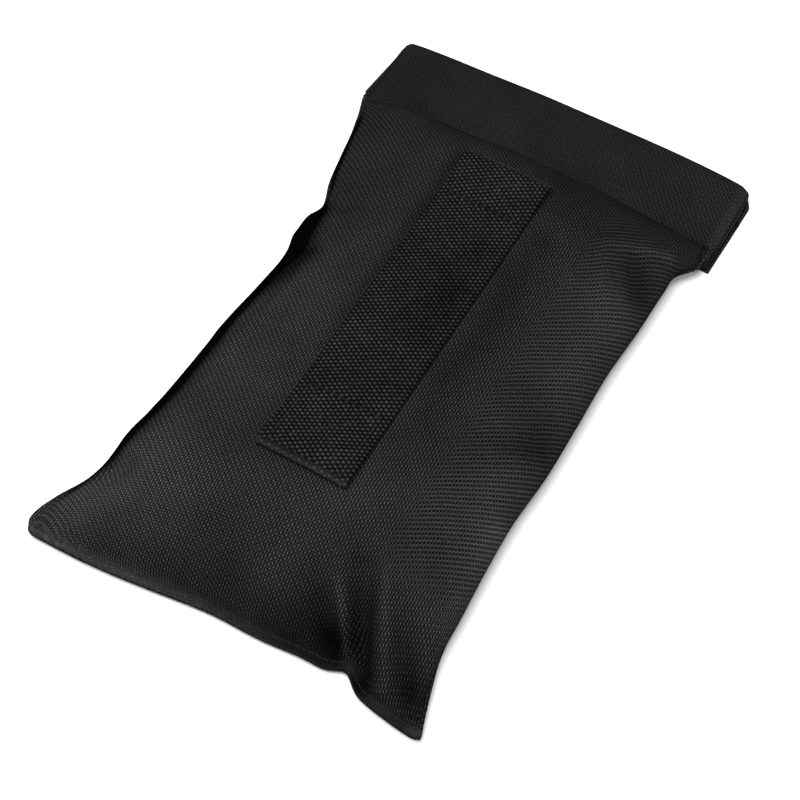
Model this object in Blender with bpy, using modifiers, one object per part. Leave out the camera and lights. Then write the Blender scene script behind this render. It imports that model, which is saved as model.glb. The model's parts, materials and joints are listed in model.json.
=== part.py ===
"""A sand-filled studio weight bag with a webbing handle and a roll-top closure.

The bag lies on its back panel: +Z is up, +Y points to the folded mouth and +X to the right.
The origin is the middle of the footprint, on the floor. All sizes are in metres.
"""

import math

import bmesh
import bpy
from mathutils import Matrix, Vector

# ---- driving dimensions ----
FLAT_WIDTH = 0.170          # panel width, seam to seam, as cut and sewn flat
CLOSED_LENGTH = 0.2881      # folded mouth to bottom seam
FILL_HEIGHT = 0.0385        # height of the filled belly
CLOTH = 0.0008              # panel cloth
TAPE = 0.0010               # hook tape and loop tape
GAP = 0.0003                # between pieces that touch
THREAD_RADIUS = 0.0004      # seam thread
STITCH = 0.0006             # stitch line, across
SEAM_FLANGE = 0.003         # flat border where the two panels lie together

WAIST_HALF_LEFT = 0.0705    # half width of the filled belly, either side of the strap
WAIST_HALF_RIGHT = 0.0755
CORNER_REACH = 0.029        # how far the bottom corners' flare reaches up the sides
SHOULDER_REACH = 0.020      # how far the flat mouth's flare reaches down the sides
BOTTOM_ARCH = 0.006         # the bottom seam is drawn in this much at the middle
SEAM_HEIGHT_SIDE = 0.0080   # height of the side seams over the floor
SEAM_HEIGHT_CORNER = 0.0032
SEAM_RISE_START = 0.6       # share of the belly's length where the seams turn to the mouth's height
CROWN_SLOPE = 0.0035        # the belly is this much lower towards the mouth
CROWN_POWER = 0.8           # lower is a squarer cross-section
ROUND_POWER = 2.2           # higher is a fuller rise at the belly's two ends
BOTTOM_ROUND_REACH = 0.070  # how far the belly's rise reaches in from the bottom seam
MOUTH_ROUND_REACH = 0.034   # and from the flat mouth
BACK_FLAT_SHARE = 0.72      # share of the half width where the back lies flat on the floor
BACK_BOTTOM_REACH = 0.016   # how far the back is turned up at the bottom seam
BACK_MOUTH_REACH = 0.022    # and at the flat mouth
SAND_CLEARANCE = 0.0006     # between the sand and the cloth
SAND_SHARE = 0.96           # share of the belly's width that the sand fills

STRAP_WIDTH = 0.038
STRAP_THICKNESS = 0.0018
STRAP_LOWER_Y = -0.082
STRAP_UPPER_Y = 0.083
STRAP_CLEARANCE = 0.0005    # under the strap, over the belly
BOX_STITCH_WIDTH = 0.031
LOWER_BOX_LENGTH = 0.030
UPPER_BOX_LENGTH = 0.0205
BOX_STITCH_MARGIN = 0.003   # from the strap's end to its box stitch, and from that to the grip

CREASE_Y = 0.106            # where the belly ends and the flat mouth begins
FLAP_EDGE_Y = 0.1018        # free edge of the folded mouth, under the bag
LIP_HINGE_Y = 0.1313        # the open lip bends up here
CLOSURE_TAPE_Y = (0.108, 0.133)
MOUTH_TAPE_Y = (0.1045, 0.1295)
TAPE_HALF_LENGTH = 0.080
INNER_BEND_SETBACK = 0.0015 # the back cloth turns this much before the front cloth

# ---- derived ----
HALF_WIDTH = FLAT_WIDTH / 2
SEAM_BEAD = GAP + 2 * THREAD_RADIUS
HALF_LENGTH = CLOSED_LENGTH / 2
BOTTOM_Y = -HALF_LENGTH + SEAM_BEAD
BODY_LENGTH = CREASE_Y - BOTTOM_Y
SEAM_OFFSET = GAP / 2 + CLOTH     # a panel's outer face at the seam, from the seam's middle

# The folded mouth is a stack of layers, given here by their lower faces.
LAYER = {}
stack_top = 0.0
for layer_name, layer_thickness in (
    ("flap_front", CLOTH),
    ("mouth_hook", TAPE),
    ("mouth_loop", TAPE),
    ("flap_back", CLOTH),
    ("closure_loop", TAPE),
    ("closure_hook", TAPE),
    ("back_panel", CLOTH),
    ("front_panel", CLOTH),
):
    LAYER[layer_name] = stack_top
    stack_top += layer_thickness + GAP
BAND_TOP = LAYER["front_panel"] + CLOTH
SEAM_HEIGHT_BAND = LAYER["front_panel"] - GAP / 2

# The front cloth turns round the whole stack, and the back cloth round the closure tapes.
OUTER_BEND_RADIUS = BAND_TOP / 2
OUTER_BEND_Y = HALF_LENGTH - OUTER_BEND_RADIUS
INNER_BEND_RADIUS = (LAYER["back_panel"] - LAYER["flap_back"] - CLOTH) / 2
INNER_BEND_Z = LAYER["back_panel"] - INNER_BEND_RADIUS
INNER_BEND_Y = OUTER_BEND_Y - INNER_BEND_SETBACK
BEND_STEPS = 5

COLUMN_STEPS = 18
BODY_ROW_STEPS = 24
SAND_END_ROWS = 3           # rows at each end of the belly that hold no sand


def clear_scene():
    for obj in list(bpy.data.objects):
        bpy.data.objects.remove(obj, do_unlink=True)


def new_collection(name):
    collection = bpy.data.collections.new(name)
    bpy.context.scene.collection.children.link(collection)
    return collection


def make_material(name, colour, roughness, metallic=0.0):
    material = bpy.data.materials.new(name)
    material.use_nodes = True
    shader = material.node_tree.nodes["Principled BSDF"]
    shader.inputs["Base Color"].default_value = (*colour, 1.0)
    shader.inputs["Roughness"].default_value = roughness
    shader.inputs["Metallic"].default_value = metallic
    material.diffuse_color = (*colour, 1.0)
    return material


def add_part(name, data, look, pivot=None):
    """Link one named part with a material of its own, and hang it on its joint's empty."""
    obj = bpy.data.objects.new(name, data)
    sandbag.objects.link(obj)
    data.materials.append(make_material(name, *look))
    if pivot:
        obj.parent = pivot
        obj.matrix_parent_inverse = Matrix.Translation(-pivot.location)
    return obj


def add_pivot(name, location):
    pivot = bpy.data.objects.new(name, None)
    pivot.empty_display_size = 0.02
    pivot.location = location
    sandbag.objects.link(pivot)
    return pivot


def grid_mesh(name, columns, rows, place):
    """A grid with one vertex for each column and row, put where place() says."""
    bm = bmesh.new()
    bmesh.ops.create_grid(bm, x_segments=len(columns) - 1, y_segments=len(rows) - 1, size=0.5)
    for vert in bm.verts:
        column = columns[round((vert.co.x + 0.5) * (len(columns) - 1))]
        row = rows[round((vert.co.y + 0.5) * (len(rows) - 1))]
        vert.co = place(column, row)
    mesh = bpy.data.meshes.new(name)
    bm.to_mesh(mesh)
    bm.free()
    return mesh


def thicken(obj, thickness, side):
    """Give a surface its thickness: side -1 goes under it, +1 over it."""
    solidify = obj.modifiers.new("cloth thickness", "SOLIDIFY")
    solidify.thickness = thickness
    solidify.offset = side
    return obj


# ---- the filled shape: columns run across the bag, rows run from the bottom to the mouth ----
def seam_height(distance):
    """Height of the seam's middle, at a distance along the bag from its bottom edge."""
    corner = math.exp(-distance / CORNER_REACH)
    side = SEAM_HEIGHT_SIDE + (SEAM_HEIGHT_CORNER - SEAM_HEIGHT_SIDE) * corner
    band = smooth_step((distance / BODY_LENGTH - SEAM_RISE_START) / (1 - SEAM_RISE_START))
    return side + (SEAM_HEIGHT_BAND - side) * band


def half_width(distance, side):
    """Half width on the left (side -1) or right (+1), wider at the corners and the mouth."""
    waist = WAIST_HALF_LEFT if side < 0 else WAIST_HALF_RIGHT
    to_crease = max(BODY_LENGTH - distance, 0.0)
    flare = math.exp(-distance / CORNER_REACH) + math.exp(-to_crease / SHOULDER_REACH)
    return waist + (HALF_WIDTH - waist) * min(flare, 1.0)


def smooth_step(x):
    x = min(max(x, 0.0), 1.0)
    return x * x * (3 - 2 * x)


def quarter_round(distance, reach):
    """Rises from 0 to 1 over the reach, steep at first, like a quarter of an ellipse."""
    left = 1 - min(max(distance / reach, 0.0), 1.0)
    return math.sqrt(1 - left ** ROUND_POWER)


def crown(distance):
    """Height of the belly's ridge over the seam, at a distance from the bottom edge."""
    full = FILL_HEIGHT - SEAM_HEIGHT_SIDE - SEAM_OFFSET
    full -= CROWN_SLOPE * smooth_step(distance / BODY_LENGTH)
    bottom = quarter_round(distance - SEAM_FLANGE, BOTTOM_ROUND_REACH)
    mouth = quarter_round(BODY_LENGTH - distance, MOUTH_ROUND_REACH)
    return full * bottom * mouth


def plan_point(column, distance):
    """Place in plan. A column is the sine of an angle, or beyond 1 on the seam's flat border."""
    width = half_width(distance, column)
    if abs(column) > 1:
        x = math.copysign(width, column)
    else:
        x = column * (width - SEAM_FLANGE)
    arch = BOTTOM_ARCH * (1 - (x / HALF_WIDTH) ** 2) * (1 - distance / BODY_LENGTH)
    return x, BOTTOM_Y + distance + max(arch, 0.0)


def front_point(column, distance):
    """A point of the front panel's outer face over the belly."""
    x, y = plan_point(column, distance)
    across = (1 - min(abs(column), 1.0) ** 2) ** (CROWN_POWER / 2)
    z = seam_height(distance) + SEAM_OFFSET + crown(distance) * across
    return Vector((x, y, z))


def back_point(column, distance):
    """A point of the back panel's outer face: flat on the floor, turned up round its border."""
    x, y = plan_point(column, distance)
    side = smooth_step((min(abs(column), 1.0) - BACK_FLAT_SHARE) / (1 - BACK_FLAT_SHARE))
    bottom = smooth_step(1 - (distance - SEAM_FLANGE) / BACK_BOTTOM_REACH)
    top = smooth_step(1 - (BODY_LENGTH - distance) / BACK_MOUTH_REACH)
    lift = 1 - (1 - side) * (1 - bottom) * (1 - top)
    return Vector((x, y, lift * (seam_height(distance) - SEAM_OFFSET)))


def panel_columns():
    """The border's outer edge, then the belly's columns by the sines of even angles."""
    inner = [
        math.sin(math.pi * (step / COLUMN_STEPS - 0.5)) for step in range(COLUMN_STEPS + 1)
    ]
    return [-2.0] + inner + [2.0]


def body_distances():
    """Rows along the belly, closer together at its two ends."""
    span = BODY_LENGTH - SEAM_FLANGE
    return [
        SEAM_FLANGE + span * (1 - math.cos(math.pi * step / BODY_ROW_STEPS)) / 2
        for step in range(BODY_ROW_STEPS + 1)
    ]


def bend_points(centre_y, centre_z, radius, first, last):
    """Points (y, z) on an arc of the fold, between two angles measured up from +Y."""
    half_gap = math.asin(GAP / 2 / radius)
    if last == 0:
        last = math.copysign(half_gap, first)
    return [
        (
            centre_y + radius * math.cos(first + (last - first) * step / BEND_STEPS),
            centre_z + radius * math.sin(first + (last - first) * step / BEND_STEPS),
        )
        for step in range(BEND_STEPS + 1)
    ]


def panel(name, body_point, mouth_rows, side):
    """A whole panel: its flat border, the belly and the rows of the folded mouth."""

    def place(column, row):
        if isinstance(row, tuple):
            x = math.copysign(HALF_WIDTH, column)
            if abs(column) <= 1:
                x = column * (HALF_WIDTH - SEAM_FLANGE)
            return Vector((x, *row))
        return body_point(column, row)

    rows = [0.0] + body_distances() + mouth_rows
    part = add_part(name, grid_mesh(name, panel_columns(), rows, place), CLOTH_LOOK)
    return thicken(part, CLOTH, side)


def front_panel():
    bend = bend_points(OUTER_BEND_Y, OUTER_BEND_RADIUS, OUTER_BEND_RADIUS, math.pi / 2, 0)
    return panel("front_panel", front_point, bend, -1)


def back_panel():
    bend = bend_points(INNER_BEND_Y, INNER_BEND_Z, INNER_BEND_RADIUS, math.pi / 2, 0)
    return panel("back_panel", back_point, bend, 1)


def surface_normal(point_at, column, distance):
    """Upward normal of a panel's face, from two short steps along it."""
    step = 0.0005
    along = point_at(column, distance + step) - point_at(column, distance - step)
    across = point_at(column + step, distance) - point_at(column - step, distance)
    return across.cross(along).normalized()


def sand_fill():
    """The sand: the inside of the belly, clear of both panels."""
    inset = CLOTH + SAND_CLEARANCE
    belly_columns = [column for column in panel_columns() if abs(column) < 1]
    columns = [SAND_SHARE * column for column in belly_columns]
    distances = body_distances()[SAND_END_ROWS:-SAND_END_ROWS]
    bm = bmesh.new()
    for point_at, side in ((front_point, -1), (back_point, 1)):

        def place(column, distance):
            normal = surface_normal(point_at, column, distance)
            return point_at(column, distance) + normal * inset * side

        half = grid_mesh("half", columns, distances, place)
        bm.from_mesh(half)
        bpy.data.meshes.remove(half)
    rim = [edge for edge in bm.edges if edge.is_boundary]
    bmesh.ops.bridge_loops(bm, edges=rim)
    bmesh.ops.recalc_face_normals(bm, faces=bm.faces)
    mesh = bpy.data.meshes.new("sand_fill")
    bm.to_mesh(mesh)
    bm.free()
    return add_part("sand_fill", mesh, SAND_LOOK)


# ---- webbing handle ----
def ridge_point(x, y, rise):
    """A point over the middle of the belly, raised along the face's normal."""
    distance = y - BOTTOM_Y
    column = 0.0
    for _ in range(4):
        width = half_width(distance, x) - SEAM_FLANGE
        column = x / width
        arch = plan_point(column, distance)[1] - BOTTOM_Y - distance
        distance = y - BOTTOM_Y - arch
    point = front_point(column, distance)
    return point + surface_normal(front_point, column, distance) * rise


def strap_piece(name, y_start, y_end, steps, pivot=None):
    half = STRAP_WIDTH / 2
    columns = [-half, -half / 2, 0.0, half / 2, half]
    rows = [y_start + (y_end - y_start) * step / steps for step in range(steps + 1)]
    mesh = grid_mesh(name, columns, rows, lambda x, y: ridge_point(x, y, STRAP_CLEARANCE))
    return thicken(add_part(name, mesh, WEBBING_LOOK, pivot), STRAP_THICKNESS, 1)


def box_stitch(name, y_middle, length):
    """A sewn rectangle with a cross in it: made flat, then bent over the strap."""
    bm = bmesh.new()
    bmesh.ops.create_grid(bm, x_segments=1, y_segments=1, size=0.5)
    bmesh.ops.scale(bm, vec=(BOX_STITCH_WIDTH, length, 1), verts=bm.verts)
    bmesh.ops.poke(bm, faces=bm.faces)
    flat_mesh = bpy.data.meshes.new("flat stitch")
    bm.to_mesh(flat_mesh)
    flat = as_stitches(bpy.data.objects.new("flat stitch", flat_mesh))
    sandbag.objects.link(flat)
    mesh = bpy.data.meshes.new_from_object(flat.evaluated_get(bpy.context.evaluated_depsgraph_get()))
    bpy.data.objects.remove(flat)

    bm.clear()
    bm.from_mesh(mesh)
    bmesh.ops.subdivide_edges(bm, edges=bm.edges, cuts=2, use_grid_fill=True)
    rise = STRAP_CLEARANCE + STRAP_THICKNESS + GAP + STITCH / 2
    for vert in bm.verts:
        vert.co = ridge_point(vert.co.x, y_middle + vert.co.y, rise + vert.co.z)
    bm.to_mesh(mesh)
    bm.free()
    return add_part(name, mesh, THREAD_LOOK)


def as_stitches(obj):
    """Keep only a surface's edges, as lines of thread."""
    wireframe = obj.modifiers.new("thread", "WIREFRAME")
    wireframe.thickness = STITCH
    wireframe.use_even_offset = False
    wireframe.use_boundary = True
    return obj


# ---- folded mouth ----
def slab(name, y_range, layer, half_length, look, pivot=None):
    """A flat layer of the folded mouth, as a box."""
    thickness = CLOTH if look is CLOTH_LOOK else TAPE
    y_start, y_end = y_range
    bm = bmesh.new()
    bmesh.ops.create_cube(bm, size=1.0)
    bmesh.ops.scale(bm, vec=(2 * half_length, y_end - y_start, thickness), verts=bm.verts)
    middle = Vector((0, (y_start + y_end) / 2, LAYER[layer] + thickness / 2))
    bmesh.ops.translate(bm, vec=middle, verts=bm.verts)
    mesh = bpy.data.meshes.new(name)
    bm.to_mesh(mesh)
    bm.free()
    return add_part(name, mesh, look, pivot)


def tape(layer, y_range, look, pivot=None):
    """One hook or loop tape, and the stitching round its border."""
    slab(f"{layer}_tape", y_range, layer, TAPE_HALF_LENGTH, look, pivot)
    outset = GAP + STITCH / 2
    middle_z = LAYER[layer] + TAPE / 2
    columns = [-TAPE_HALF_LENGTH - outset, TAPE_HALF_LENGTH + outset]
    rows = [y_range[0] - outset, y_range[1] + outset]
    name = f"{layer}_stitching"
    mesh = grid_mesh(name, columns, rows, lambda x, y: Vector((x, y, middle_z)))
    as_stitches(add_part(name, mesh, THREAD_LOOK, pivot))


def bent_layer(name, rows, side, pivot):
    """A layer of the flap that starts flat and turns up into the fold."""
    columns = [-HALF_WIDTH, HALF_WIDTH]
    mesh = grid_mesh(name, columns, rows, lambda x, row: Vector((x, *row)))
    return thicken(add_part(name, mesh, CLOTH_LOOK, pivot), CLOTH, side)


def folded_mouth():
    flap = add_pivot("closure_flap_hinge", (0, HALF_LENGTH, OUTER_BEND_RADIUS))
    lip = add_pivot("mouth_lip_hinge", (0, LIP_HINGE_Y, 0))

    tape("closure_hook", CLOSURE_TAPE_Y, HOOK_LOOK)
    tape("closure_loop", CLOSURE_TAPE_Y, LOOP_LOOK, flap)
    tape("mouth_loop", MOUTH_TAPE_Y, LOOP_LOOK, flap)
    tape("mouth_hook", MOUTH_TAPE_Y, HOOK_LOOK, lip)

    inner_bend = bend_points(INNER_BEND_Y, INNER_BEND_Z, INNER_BEND_RADIUS, -math.pi / 2, 0)
    free_edge = (FLAP_EDGE_Y, LAYER["flap_back"] + CLOTH)
    bent_layer("flap_back_layer", [free_edge] + inner_bend, -1, flap)

    outer_bend = bend_points(OUTER_BEND_Y, OUTER_BEND_RADIUS, OUTER_BEND_RADIUS, -math.pi / 2, 0)
    root = (LIP_HINGE_Y + GAP, LAYER["flap_front"])
    bent_layer("fold_outer_wrap", [root] + outer_bend, 1, flap)

    lip_range = (FLAP_EDGE_Y, LIP_HINGE_Y)
    slab("flap_front_layer", lip_range, "flap_front", HALF_WIDTH, CLOTH_LOOK, lip)


# ---- seams ----
def seam_thread(name, points):
    curve = bpy.data.curves.new(name, "CURVE")
    curve.dimensions = "3D"
    curve.bevel_depth = THREAD_RADIUS
    curve.bevel_resolution = 1
    curve.use_fill_caps = True
    spline = curve.splines.new("POLY")
    spline.points.add(len(points) - 1)
    for spline_point, point in zip(spline.points, points):
        spline_point.co = (*point, 1.0)
    return add_part(name, curve, THREAD_LOOK)


def side_seam(name, side):
    """The thread that closes one side, along the outer edge of the two panels."""
    outset = GAP + THREAD_RADIUS
    points = []
    for distance in [0.0] + body_distances():
        x, y = plan_point(2.0 * side, distance)
        points.append((x + side * outset, y, seam_height(distance)))
    points.append((side * (HALF_WIDTH + outset), OUTER_BEND_Y, SEAM_HEIGHT_BAND))
    seam_thread(name, points)


def bottom_seam():
    outset = GAP + THREAD_RADIUS
    points = []
    for column in panel_columns():
        x, y = plan_point(column, 0.0)
        points.append((x, y - outset, seam_height(0.0)))
    seam_thread("bottom_seam", points)


def handle():
    lift = add_pivot("handle_lift", (0, (STRAP_LOWER_Y + STRAP_UPPER_Y) / 2, FILL_HEIGHT))
    lower_joint = STRAP_LOWER_Y + LOWER_BOX_LENGTH + 2 * BOX_STITCH_MARGIN
    upper_joint = STRAP_UPPER_Y - UPPER_BOX_LENGTH - 2 * BOX_STITCH_MARGIN
    strap_piece("handle_strap_lower_end", STRAP_LOWER_Y, lower_joint - GAP, 5)
    strap_piece("handle_strap_grip", lower_joint, upper_joint, 12, lift)
    strap_piece("handle_strap_upper_end", upper_joint + GAP, STRAP_UPPER_Y, 4)
    lower_middle = STRAP_LOWER_Y + BOX_STITCH_MARGIN + LOWER_BOX_LENGTH / 2
    upper_middle = STRAP_UPPER_Y - BOX_STITCH_MARGIN - UPPER_BOX_LENGTH / 2
    box_stitch("lower_box_stitch", lower_middle, LOWER_BOX_LENGTH)
    box_stitch("upper_box_stitch", upper_middle, UPPER_BOX_LENGTH)


CLOTH_LOOK = ((0.020, 0.020, 0.021), 0.62)
WEBBING_LOOK = ((0.014, 0.014, 0.015), 0.58)
THREAD_LOOK = ((0.016, 0.016, 0.017), 0.50)
HOOK_LOOK = ((0.012, 0.012, 0.013), 0.45)
LOOP_LOOK = ((0.018, 0.018, 0.019), 0.85)
SAND_LOOK = ((0.52, 0.43, 0.30), 0.90)

clear_scene()
sandbag = new_collection("sandbag")

front_panel()
back_panel()
sand_fill()
side_seam("left_side_seam", -1)
side_seam("right_side_seam", 1)
bottom_seam()
handle()
folded_mouth()
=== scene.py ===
"""The looks of a sand-filled weight bag: woven cloth, a webbing handle and a folded mouth.

Sizes are in metres, apart from the tables in mm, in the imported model's frame: the bag lies on
its back, +Y points to the folded mouth, +X to the right as seen from the handle side, +Z up.
"""

import json
import math

import bpy
import numpy as np
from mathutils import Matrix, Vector, noise


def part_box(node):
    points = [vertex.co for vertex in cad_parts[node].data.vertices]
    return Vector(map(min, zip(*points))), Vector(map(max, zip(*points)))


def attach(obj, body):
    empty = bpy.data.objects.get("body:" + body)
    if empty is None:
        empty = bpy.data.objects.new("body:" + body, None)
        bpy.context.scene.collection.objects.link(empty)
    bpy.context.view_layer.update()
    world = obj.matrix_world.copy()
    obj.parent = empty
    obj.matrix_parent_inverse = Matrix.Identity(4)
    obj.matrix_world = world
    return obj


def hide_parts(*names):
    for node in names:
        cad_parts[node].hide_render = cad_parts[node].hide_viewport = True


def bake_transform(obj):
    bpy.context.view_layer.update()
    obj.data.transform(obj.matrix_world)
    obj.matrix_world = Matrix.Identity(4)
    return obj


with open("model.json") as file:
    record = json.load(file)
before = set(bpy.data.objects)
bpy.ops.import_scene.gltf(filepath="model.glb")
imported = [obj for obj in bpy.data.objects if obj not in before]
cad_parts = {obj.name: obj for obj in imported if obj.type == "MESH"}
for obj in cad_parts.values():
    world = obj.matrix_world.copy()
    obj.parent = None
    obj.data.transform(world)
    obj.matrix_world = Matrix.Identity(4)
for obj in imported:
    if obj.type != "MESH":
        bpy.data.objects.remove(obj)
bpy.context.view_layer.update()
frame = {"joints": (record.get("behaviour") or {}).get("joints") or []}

# ---- sizes read from the frame ----
joints = {joint["name"]: joint for joint in frame["joints"]}
FOLD_Y, FOLD_Z = joints["closure_flap_hinge"]["pos_m"][1:]
LIP_Y = joints["mouth_lip_hinge"]["pos_m"][1]
BOTTOM_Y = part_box("front_panel")[0].y
HALF_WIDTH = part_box("flap_front_layer")[1].x
FLAP_EDGE_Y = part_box("flap_front_layer")[0].y
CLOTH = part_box("flap_front_layer")[1].z
FLAP_BACK_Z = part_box("flap_back_layer")[0].z
STRAP_LOW_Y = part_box("handle_strap_lower_end")[0].y
STRAP_HIGH_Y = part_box("handle_strap_upper_end")[1].y
STRAP_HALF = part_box("handle_strap_grip")[1].x
GRIP_LOW_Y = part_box("handle_strap_grip")[0].y
GRIP_HIGH_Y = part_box("handle_strap_grip")[1].y
FILL_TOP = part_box("front_panel")[1].z
BAND_TOP = 2 * FOLD_Z

# ---- the filled shape ----
MM = 0.001
CREASE_Y = 0.106            # where the belly ends and the flat mouth begins
LENGTH = CREASE_Y - BOTTOM_Y
BOTTOM_RIM = 0.0038         # flat, top-stitched border along the bottom
SIDE_RIM = 0.0011           # the sides are turned under, and show much less of it
RIM_REACH = 0.012           # how far up the sides the bottom's border reaches
TIP_RADIUS = 0.0050         # the rounded bottom corners
SEAM_GAP = 0.00015          # from the seam's middle to each panel's inner face
SEAM_HIGH = 0.0080          # the seam's height over the floor, at the sides
SEAM_LOW = 0.0032           # and at the bottom corners
SEAM_BAND = BAND_TOP - CLOTH - SEAM_GAP    # and under the flat mouth
CORNER_REACH = 0.029        # how far up the sides the low corners reach
BOTTOM_ROUND = 0.066        # how far the belly's rise reaches in from the bottom seam
MOUTH_ROUND = 0.034         # and from the flat mouth
ROUND_POWER = 2.2
CROWN_SLOPE = 0.0035        # the belly is this much lower towards the mouth
TIP_FLAT = 0.022            # the bottom corners stay flat this far in
ROLL = 0.0042               # the flat mouth's ends are rolled down over this width
ROLL_DROP = 0.0036          # and by this much
ROLL_REACH = 0.016          # the roll begins this far before the flat mouth
FOLD_BOW = 0.0036           # the fold bows outwards in its middle
BAND_PUFF = 0.0022          # and stands higher there
ARCH_X = 0.024              # the bottom seam arches in most here
PINCH_X = 0.0490            # and is pinched here
BULGE = 0.0026              # the right side swells out over its seam

# Half widths along the bag, as (y, half width) in mm, from the bottom corners to the mouth.
LEFT_EDGE = (
    (-144, 88.8), (-135, 88.5), (-126, 85), (-115, 79), (-91, 75.2), (-57, 72), (-13, 69.6),
    (6, 68), (30, 69.2), (45.5, 68.4), (56, 72.2), (71, 75.5), (88, 79), (100, 82.8), (106, 85),
)
RIGHT_EDGE = (
    (-144, 86.8), (-135, 83.6), (-126, 80.8), (-110, 76.8), (-95, 76), (-70, 74.6), (-50, 74.1),
    (-25, 75.6), (5, 75.4), (30, 75), (55, 76.4), (78, 77), (87, 77.7), (94.5, 83.2), (106, 86),
)


def smooth(t):
    """0 up to 0 and 1 from 1 on, with a soft rise between them."""
    t = np.clip(t, 0.0, 1.0)
    return t * t * (3 - 2 * t)


def past(value, start, length):
    """0 up to the start, and from there softly up to 1 over the length."""
    return smooth((value - start) / length)


def hump(value, middle, width):
    """1 in the middle, falling off softly to both sides."""
    return np.exp(-(((value - middle) / width) ** 2))


def unit(vectors):
    """The same directions, with length 1."""
    return vectors / np.maximum(np.linalg.norm(vectors, axis=-1, keepdims=True), 1e-12)


def curve_through(points, places):
    """A smooth line through (place, value) points in mm, read at the given places."""
    xs, ys = MM * np.array(points).T
    slopes = np.gradient(ys, xs)
    i = np.clip(np.searchsorted(xs, places) - 1, 0, len(xs) - 2)
    span = xs[i + 1] - xs[i]
    t = np.clip((places - xs[i]) / span, 0.0, 1.0)
    rise = t * t * (3 - 2 * t)
    leave = t * (1 - t) ** 2 * span * slopes[i]
    arrive = t * t * (t - 1) * span * slopes[i + 1]
    return ys[i] * (1 - rise) + ys[i + 1] * rise + leave + arrive


def quarter_round(distance, reach):
    left = 1 - np.clip(distance / reach, 0.0, 1.0)
    return np.sqrt(1 - left ** ROUND_POWER)


def seam_height(distance):
    side = SEAM_HIGH + (SEAM_LOW - SEAM_HIGH) * np.exp(-distance / CORNER_REACH)
    return side + (SEAM_BAND - side) * past(distance / LENGTH, 0.6, 0.4)


def crown(distance):
    """Height of the belly's middle over the seam."""
    full = FILL_TOP - SEAM_HIGH - CLOTH - CROWN_SLOPE * smooth(distance / LENGTH)
    bottom = quarter_round(distance - BOTTOM_RIM, BOTTOM_ROUND)
    return full * bottom * quarter_round(LENGTH - distance, MOUTH_ROUND)


def across_profile(column):
    """Height across the belly, from 0 at the seam to 1 in the middle: steeper on the left."""
    c = np.clip(np.abs(column), 0.0, 1.0)
    steep_left = (1 - c ** 2.6) ** 0.44
    broad_right = (1 - c ** 2.0) ** 0.50
    return np.where(column < 0, steep_left, broad_right)


def half_width(side, y):
    return np.where(side < 0, curve_through(LEFT_EDGE, y), curve_through(RIGHT_EDGE, y))


def side_rim(distance):
    """Width of the sides' border: wide at the bottom corners and where the mouth's ends roll."""
    low = np.exp(-np.clip(distance, 0, None) / RIM_REACH)
    high = past(distance, LENGTH - ROLL_REACH, ROLL_REACH)
    return SIDE_RIM + (BOTTOM_RIM - SIDE_RIM) * low + (ROLL - SIDE_RIM) * high


def drawn_in(x, distance):
    """How far a point is drawn in from the bottom: the seam's arch, and the pinch in it.

    The arch is drawn in less in its middle and towards the left corner.
    """
    arch = 0.0100 * hump(x, ARCH_X, np.where(x < ARCH_X, 0.050, 0.038))
    less = 0.0034 * hump(x, 0.0155, 0.020) + 0.0008 * past(-x, 0.030, 0.040)
    pinch = 0.0046 * hump(x, PINCH_X, 0.0055)
    arch = arch * (1 - smooth(distance / 0.120)) - less * (1 - smooth(distance / 0.060))
    return arch + pinch * (1 - smooth(distance / 0.030))


def round_tips(x, y):
    """The two bottom corners are rounded: a square corner is pressed into a quarter disc."""
    edge = half_width(x, y)
    a = np.clip(1 - (edge - np.abs(x)) / TIP_RADIUS, 0.0, 1.0)
    b = np.clip(1 - (y - BOTTOM_Y) / TIP_RADIUS, 0.0, 1.0)
    x = x + np.sign(x) * TIP_RADIUS * (a * np.sqrt(1 - b * b / 2) - a)
    return x, y + TIP_RADIUS * (b - b * np.sqrt(1 - a * a / 2))


def plan(column, share, distance, shaped=True):
    """A panel's points in plan, with or without the pinch and the rounded tips."""
    y = BOTTOM_Y + distance
    rim = side_rim(distance)
    x = column * (half_width(column, y) - rim) + np.sign(column) * share * rim
    if not shaped:
        return x, y
    return round_tips(x, y + drawn_in(x, distance))


def belly_front(column, share, distance, shaped=True):
    """The front panel's outer face, before its folds."""
    x, y = plan(column, share, distance, shaped)
    z = seam_height(distance) + SEAM_GAP + CLOTH
    to_tip = np.hypot(HALF_WIDTH - np.abs(x), y - BOTTOM_Y)
    flat = 1 - hump(to_tip, 0.0, TIP_FLAT)
    across = across_profile(column) * (share == 0)
    z = z + crown(distance) * across * flat
    low_wall = across ** 0.6
    swell = 4 * low_wall * (1 - low_wall) * flat * crown(distance) / crown(LENGTH / 2)
    x = x + BULGE * swell * past(column, 0.55, 0.35)
    roll = past(distance, LENGTH - ROLL_REACH, ROLL_REACH) * (1 - np.cos(share * math.pi / 2))
    return np.stack([x, y, z - ROLL_DROP * roll], -1)


def over_belly(x, y, rise):
    """Points over the middle of the belly, raised along its normal, and that normal."""
    distance = y - BOTTOM_Y
    for _ in range(4):
        distance = y - BOTTOM_Y - drawn_in(x, distance)
    step = 0.001

    def at(x, distance):
        column = x / (half_width(x, BOTTOM_Y + distance) - side_rim(distance))
        return belly_front(column, 0.0 * column, distance)

    across = at(x + step, distance) - at(x - step, distance)
    along = at(x, distance + step) - at(x, distance - step)
    normal = unit(np.cross(across, along))
    return at(x, distance) + normal * np.expand_dims(rise, -1), normal


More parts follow.
